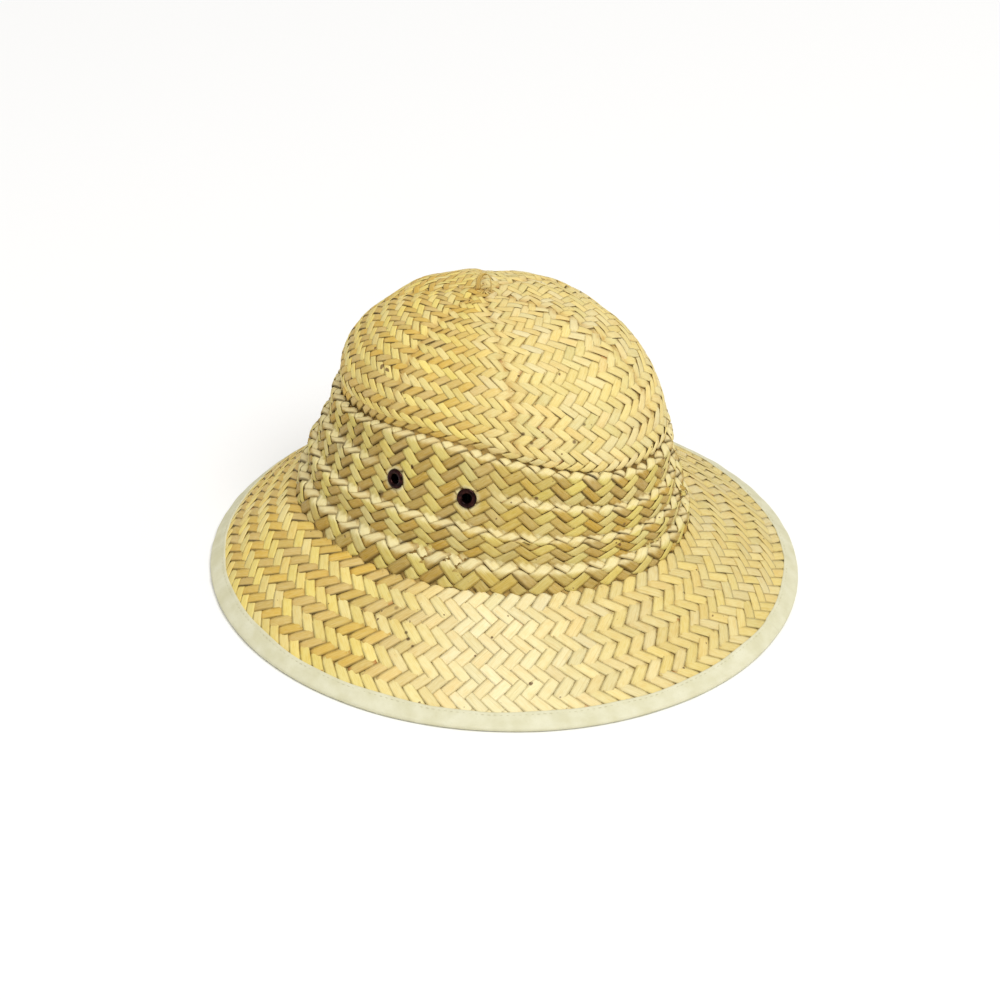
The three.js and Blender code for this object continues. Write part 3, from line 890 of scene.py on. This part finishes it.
def rim_frames(turns):
    """At each angle: the middle of the straw's edge, the way out along the brim and the way up from it."""
    edge = on_skin(turns, np.full(turns.shape, 0.0), np.full(turns.shape, -straw / 2))
    inner = on_skin(turns, np.full(turns.shape, 1.2), np.full(turns.shape, -straw / 2))
    out = edge - inner
    out /= np.linalg.norm(out, axis=-1, keepdims=True)
    ahead = np.roll(edge, -1, 0) - np.roll(edge, 1, 0)
    up = np.cross(ahead, inner - edge)
    up /= np.linalg.norm(up, axis=-1, keepdims=True)
    return edge, out, up


turns = np.arange(tape_stations) / tape_stations * 2 * np.pi
edge, out, up = rim_frames(turns)
run = np.cumsum(np.linalg.norm(edge - np.roll(edge, 1, 0), axis=-1))


def tape_line(depth):
    """The tape's section at a depth below its outer face: straight over the brim, then round its edge."""
    skin = tape_clear + tape_thick - depth
    top = np.linspace(-tape_reach, 0, 14)
    bend = np.linspace(np.pi / 2, -np.pi / 2, 9)[1:-1]
    u = np.concatenate([top, 0.75 * skin * np.cos(bend), top[::-1]])
    v = np.concatenate([np.full(14, skin), skin * np.sin(bend), np.full(14, -skin)])
    return u, v


outer_u, outer_v = tape_line(0)
inner_u, inner_v = tape_line(tape_thick)
face_sign = np.sign(outer_v) * (np.abs(outer_v) > 0.9 * outer_v.max())
near_stitch = np.exp(-((outer_u + tape_reach - stitch_in) / 0.0009) ** 2) * face_sign
thick_edge = np.clip(1 - (outer_u + tape_reach) / 0.0007, 0, 1) * face_sign
pucker = 0.5 + 0.5 * np.cos(2 * np.pi * run / stitch_pitch)
ripple = 0.00010 * np.sin(run * 2 * np.pi / 0.031) + 0.00008 * np.sin(run * 2 * np.pi / 0.0173 + 1)
wander = 0.00035 * np.sin(run * 2 * np.pi / 0.11) + 0.0002 * np.sin(run * 2 * np.pi / 0.047 + 2)
wander = wander - 0.0006 * np.cos(turns - math.radians(330))
lift = -near_stitch[None, :] * (0.00012 + 0.00014 * pucker[:, None]) + face_sign * ripple[:, None]
lift = lift - thick_edge[None, :] * 0.00035
slide = wander[:, None] * (outer_u[None, :] / tape_reach)


def tape_points(u, v):
    """The section's points at each angle: u out along the brim, sliding a little, and v up, puckered."""
    return (edge[:, None] + out[:, None] * (u[None, :] + slide)[..., None]
            + up[:, None] * (v[None, :] + lift)[..., None])


outer_face = tape_points(outer_u, outer_v)
inner_face = tape_points(inner_u, inner_v)
outer_face[..., 2] = np.maximum(outer_face[..., 2], 0.0)
inner_face[..., 2] = np.maximum(inner_face[..., 2], 0.7 * tape_thick)
section = np.concatenate([outer_face, inner_face[:, ::-1]], 1)
binding_faces = grid_faces(tape_stations, section.shape[1], close_rows=True, close_columns=True)
binding = make_piece("edge_tape", section, binding_faces, tape)
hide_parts("edge_binding")
outer_steps = np.hypot(np.diff(outer_u, prepend=outer_u[0]), np.diff(outer_v, prepend=outer_v[0]))
tape_across = np.cumsum(outer_steps)
cloth = np.zeros(section.shape)
cloth[..., 0] = run[:, None]
cloth[..., 1] = np.concatenate([tape_across, tape_across[::-1]])[None, :]
add_layer(binding, "cloth", cloth)


# Binding stitches
# One line of cream lockstitch runs right round, through the tape and the straw, and shows on both faces.
# Each stitch pulls the tape in a little.
stitch_long, stitch_thick = 0.0024, 0.00022
thread, thread_tree, thread_shader = new_material("stitch_thread", 0.7, specular=0.3)
thread_place = add_node(thread_tree, "ShaderNodeTexCoord", 3)
thread_noise = add_node(
    thread_tree, "ShaderNodeTexNoise", 0, None, Vector=thread_place, Scale=700.0, Detail=1.0)
thread_colour = blend_colours(thread_tree, thread_noise, hue(190, 184, 146), hue(222, 218, 190))
join(thread_tree, thread_shader.inputs["Base Color"], thread_colour)

stitch_count = int(run[-1] / stitch_pitch)
stitch_turns = np.interp((np.arange(stitch_count) + 0.5) * run[-1] / stitch_count, run, turns)


def stitches(name, face):
    """Short bent threads: round sections along each, whose height falls at both ends, into the tape."""
    sections, flats = 7, 5
    s = np.linspace(-1, 1, sections)
    round_thread = np.arange(flats) / flats * 2 * np.pi
    spin = stitch_turns[:, None] + s[None, :] * stitch_long / 2 / rim_long
    middle, outwards, upwards = (
        np.stack([np.interp(spin, turns, part[:, k]) for k in range(3)], -1) for part in (edge, out, up))
    slip = np.interp(spin, turns, wander)[..., None]
    inwards = outwards * (-(tape_reach - stitch_in) * (1 + slip / tape_reach))
    height = tape_clear + tape_thick - 0.00016 - 0.00030 * np.abs(s) ** 3
    line = middle + inwards + upwards * (face * height)[None, :, None]
    girth = (stitch_thick * np.sqrt(1.02 - s ** 2 * 0.8))[None, :, None, None]
    flat_part = outwards[:, :, None] * np.cos(round_thread)[None, None, :, None]
    high_part = upwards[:, :, None] * np.sin(round_thread)[None, None, :, None]
    points = line[:, :, None] + (flat_part + high_part) * girth
    size = sections * flats
    sides = np.array(grid_faces(sections, flats, close_columns=True))
    caps = np.array([np.arange(flats)[::-1], np.arange(size - flats, size)])
    first = np.arange(stitch_count)[:, None, None] * size
    faces = (first + sides[None]).reshape(-1, 4).tolist() + (first + caps[None]).reshape(-1, flats).tolist()
    make_piece(name, points, faces, thread)


stitches("stitches_top", 1)
stitches("stitches_under", -1)


# Eyelets
# Four vents are rolled metal eyelets, dark bronze and worn bright on the roll, pressed flat into the
# straw. The barrel goes through the wall and is spread over a small lip inside.
bronze, bronze_tree, bronze_shader = new_material("dark_bronze", 0.2, metallic=0.9)
bronze_place = add_node(bronze_tree, "ShaderNodeTexCoord", 3)
bronze_noise = add_node(
    bronze_tree, "ShaderNodeTexNoise", 0, None, Vector=bronze_place, Scale=420.0, Detail=3.0)
bronze_colour = blend_colours(bronze_tree, bronze_noise.ramp(0.4, 0.7), hue(24, 11, 11), hue(66, 34, 30))
join(bronze_tree, bronze_shader.inputs["Base Color"], bronze_colour)
join(bronze_tree, bronze_shader.inputs["Roughness"], 0.12 + bronze_noise * 0.2)

eyelet_flange, eyelet_bore = 0.0058, 0.0028
barrel_thick, lip_reach, eyelet_columns = 0.0006, 0.0050, 48


def rolled_eyelet(name):
    """A profile turned round the hole's axis: inner lip, barrel, and a half-round roll outside."""
    seat, axis = seats[name]
    sideways = np.cross((0, 0, 1), axis)
    sideways /= np.linalg.norm(sideways)
    upright = np.cross(axis, sideways)
    roll_middle = (eyelet_flange + eyelet_bore) / 2
    roll_half = (eyelet_flange - eyelet_bore) / 2
    over_roll = np.linspace(0, np.pi, 13)
    roll_radii = roll_middle - roll_half * np.cos(over_roll)
    roll_heights = 0.00015 + 0.0011 * np.sin(over_roll) ** 0.8
    barrel = eyelet_bore + barrel_thick
    lip, lip_half = -straw - 0.0006, 0.0003
    lip_radii = [barrel, barrel, lip_reach - 0.0001, lip_reach, lip_reach - 0.0003, eyelet_bore]
    lip_heights = [-0.0001, lip + lip_half, lip + lip_half, lip, lip - lip_half, lip - lip_half]
    radii = np.concatenate([roll_radii, lip_radii])
    heights = np.concatenate([roll_heights, lip_heights])
    spin = np.arange(eyelet_columns) / eyelet_columns * 2 * np.pi
    ring = sideways * np.cos(spin)[:, None] + upright * np.sin(spin)[:, None]
    points = seat + ring[:, None] * radii[None, :, None] + axis * heights[None, :, None]
    faces = grid_faces(eyelet_columns, len(radii), close_rows=True, close_columns=True)
    piece = make_piece("rolled_eyelet_" + name, points, [f[::-1] for f in faces], bronze)
    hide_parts("eyelet_" + name)


for name in eyelet_names:
    rolled_eyelet(name)


# Top loop
# The last strips of the crown are drawn up into a small loop and tucked back in, which is what the
# finished hat is hung by.
loop_low, loop_high = (np.array(corner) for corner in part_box("top_loop"))
loop_middle = (loop_low + loop_high) / 2
loop_wide, loop_thick, loop_inset = 0.0017, 0.0005, 0.0004
loop_half = (loop_high - loop_low)[1] / 2 - loop_inset
loop_tall = (loop_high - loop_low)[2] - loop_inset
loop_lean = 0.0012


def loop_piece():
    """A strip carried along an arch: it leans and twists a little as it goes over the top."""
    stations = 33
    t = np.linspace(0, 1, stations)
    bend = np.pi * t
    leaning = loop_lean * np.sin(2 * np.pi * t)
    height = loop_tall * np.sin(bend) ** 0.7 - loop_lean * (1 - np.sin(bend)) ** 2
    line = np.stack([leaning, -loop_half * np.cos(bend), height], -1)
    line += (loop_middle[0], loop_middle[1], loop_low[2])
    ahead = np.gradient(line, axis=0)
    ahead /= np.linalg.norm(ahead, axis=-1, keepdims=True)
    twist = (0.5 + 0.5 * t)[:, None]
    sideways = np.array([1.0, 0.0, 0.0])
    flat = sideways * np.cos(twist) + np.cross(ahead, sideways) * np.sin(twist)
    flat -= ahead * (flat * ahead).sum(-1, keepdims=True)
    flat /= np.linalg.norm(flat, axis=-1, keepdims=True)
    thick = np.cross(ahead, flat)
    ring = np.array([(-1, -0.2), (-0.5, 0.5), (0.5, 0.5), (1, -0.2), (0.7, -0.6), (-0.7, -0.6)])
    girth = loop_wide * (1 - 0.15 * np.sin(9 * t))
    points = (line[:, None] + flat[:, None] * (ring[:, 0] * girth[:, None])[..., None]
              + thick[:, None] * (ring[:, 1] * loop_thick)[None, :, None])
    around = len(ring)
    size = stations * around
    caps = [list(range(around))[::-1], list(range(size - around, size))]
    faces = grid_faces(stations, around, close_columns=True) + caps
    piece = make_piece("straw_loop", points, [f[::-1] for f in faces], palm)
    along_strip = np.clip((t[:, None] - 0.5) * 4, -0.9, 0.9)
    places = np.broadcast_arrays(along_strip, ring[None, :, 0], 0.31)
    add_layer(piece, "grain", np.stack(places, -1))
    add_layer(piece, "shade", np.tile((0.5, 0.3, 0.3), size))
    add_tints(piece, np.tile(hue(222, 196, 118), size))
    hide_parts("top_loop")


loop_piece()


# Floor, light and camera
# A plain pale floor and soft studio light from the upper right, with the camera where the photograph
# was taken from: round to the wearer's right side and looking down on the hat.
view_round, view_up, view_far = math.radians(-67.0), math.radians(32.1), 2.77
view_roll = math.radians(1.1)
frame_wide = 0.578
look_at = np.array([0, crown_setback, 0.070])
below_middle = 0.0221


def from_middle(around, above, far):
    """A place at a turn round from the front, a rise above the floor and a distance from the hat."""
    flat = math.cos(above)
    return look_at + far * np.array([math.sin(around) * flat, -math.cos(around) * flat, math.sin(above)])


floor_mesh = bpy.data.meshes.new("floor")
floor_half = 6.0
floor_corners = [(x * floor_half, y * floor_half, 0) for x, y in ((-1, -1), (1, -1), (1, 1), (-1, 1))]
floor_mesh.from_pydata(floor_corners, [], [(0, 1, 2, 3)])
floor = bpy.data.objects.new("floor", floor_mesh)
floor.location.z = -0.0005
bpy.context.scene.collection.objects.link(floor)
pale, _, pale_shader = new_material("pale_floor", 0.9, specular=0.1)
pale_shader.inputs["Base Color"].default_value = (0.97, 0.97, 0.97, 1)
floor_mesh.materials.append(pale)

world = bpy.data.worlds.new("studio")
world.use_nodes = True
world.node_tree.nodes["Background"].inputs["Color"].default_value = (1, 0.99, 0.97, 1)
world.node_tree.nodes["Background"].inputs["Strength"].default_value = 0.6
bpy.context.scene.world = world
bpy.context.scene.view_settings.view_transform = "Standard"


def soft_light(name, around, above, far, size, power):
    """A round lamp at a turn, a rise and a distance from the hat, facing it."""
    data = bpy.data.lights.new(name, "AREA")
    data.shape = "DISK"
    data.size = size
    data.energy = power
    lamp = bpy.data.objects.new(name, data)
    bpy.context.scene.collection.objects.link(lamp)
    lamp.location = from_middle(around, above, far)
    aim_at(lamp, look_at)


def aim_at(thing, target, roll=0.0):
    """Turns a light or camera to look along its own -Z at a point, its top up, then rolls it."""
    away = np.array(thing.location) - target
    away /= np.linalg.norm(away)
    right = np.cross((0, 0, 1), away)
    right /= np.linalg.norm(right)
    top = np.cross(away, right)
    right, top = (
        right * math.cos(roll) + top * math.sin(roll),
        top * math.cos(roll) - right * math.sin(roll),
    )
    rows = [[right[k], top[k], away[k]] for k in range(3)]
    thing.rotation_euler = Matrix(rows).to_euler()


soft_light("key", view_round + math.radians(28), math.radians(60), 5.0, 3.2, 160)

camera_data = bpy.data.cameras.new("camera")
camera_data.sensor_width = 36
camera_data.lens = 36 * view_far / frame_wide
camera_data.clip_end = 30
camera = bpy.data.objects.new("camera", camera_data)
bpy.context.scene.collection.objects.link(camera)
camera.location = from_middle(view_round, view_up, view_far)
aim_at(camera, look_at - np.array([0, 0, below_middle / math.cos(view_up)]), view_roll)
bpy.context.scene.camera = camera
